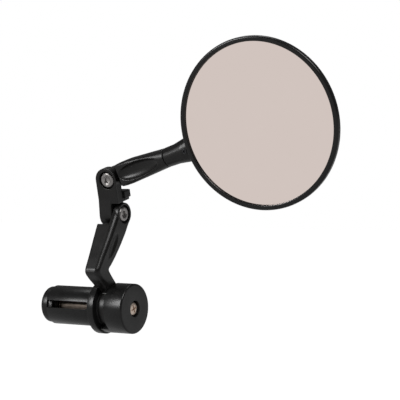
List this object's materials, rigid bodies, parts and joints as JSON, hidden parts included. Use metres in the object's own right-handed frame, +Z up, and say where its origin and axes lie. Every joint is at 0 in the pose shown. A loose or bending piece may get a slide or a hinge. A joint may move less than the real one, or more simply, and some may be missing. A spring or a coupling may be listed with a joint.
{
  "type": "bar-end bicycle mirror",
  "caption": "Bar-end bicycle mirror: expanding plug, jointed two-piece arm with link, and a round convex mirror that swivels on its neck.",
  "frame": {"origin": "centre of the flange face that rests against the end of the handlebar, on the plug's axis", "axes": "X along the plug's axis from the handlebar towards the end cap, Z up, the mirror facing the -Y side"},
  "size_m": [0.1623, 0.031, 0.1389],
  "materials": {
    "black_plastic": "satin moulded plastic",
    "black_gloss": "gloss moulded plastic",
    "screw_steel": "bright plated steel",
    "zinc_steel": "zinc-plated steel",
    "black_steel": "blackened steel",
    "dark_rubber": "matt rubber",
    "mirror_glass": "silvered convex glass",
    "foam_pad": "adhesive foam"
  },
  "bodies": {
    "plug": {"expansion_sleeve": "black_plastic", "expander_cone": "black_plastic", "expander_nut": "zinc_steel", "clamp_bolt": "screw_steel", "bolt_washer": "zinc_steel", "friction_ring": "dark_rubber"},
    "lower_arm": {"lower_arm": "black_plastic", "end_cap": "black_plastic"},
    "middle_link": {"middle_link": "black_plastic", "lower_pivot_screw": "screw_steel", "lower_pivot_nut": "zinc_steel", "lower_pivot_washer": "zinc_steel"},
    "upper_arm": {"upper_arm": "black_plastic", "upper_pivot_screw": "screw_steel", "upper_pivot_nut": "zinc_steel", "upper_pivot_washer": "zinc_steel", "swivel_o_ring": "dark_rubber"},
    "mirror": {"mirror_shell": "black_plastic", "mirror_bezel": "black_gloss", "mirror_glass": "mirror_glass", "glass_pad": "foam_pad", "swivel_grub_screw": "black_steel"}
  },
  "joints": [
    {"name": "hub_turn", "type": "hinge", "parent": "plug", "child": "lower_arm", "pos_m": [0.006, 0, 0], "axis": [1, 0, 0], "continuous": true},
    {"name": "lower_fold", "type": "hinge", "parent": "lower_arm", "child": "middle_link", "pos_m": [0.0073, 0.004, 0.0454], "axis": [1, 0, 0], "range_deg": [-133, 47]},
    {"name": "upper_fold", "type": "hinge", "parent": "middle_link", "child": "upper_arm", "pos_m": [0.0064, -0.00035, 0.06287], "axis": [0, -0.9703, -0.2419], "range_deg": [-16.7, 163.3]},
    {"name": "mirror_swivel", "type": "hinge", "parent": "upper_arm", "child": "mirror", "pos_m": [0.04002, -0.00279, 0.07265], "axis": [0.9578, -0.0695, 0.2788], "continuous": true}
  ]
}
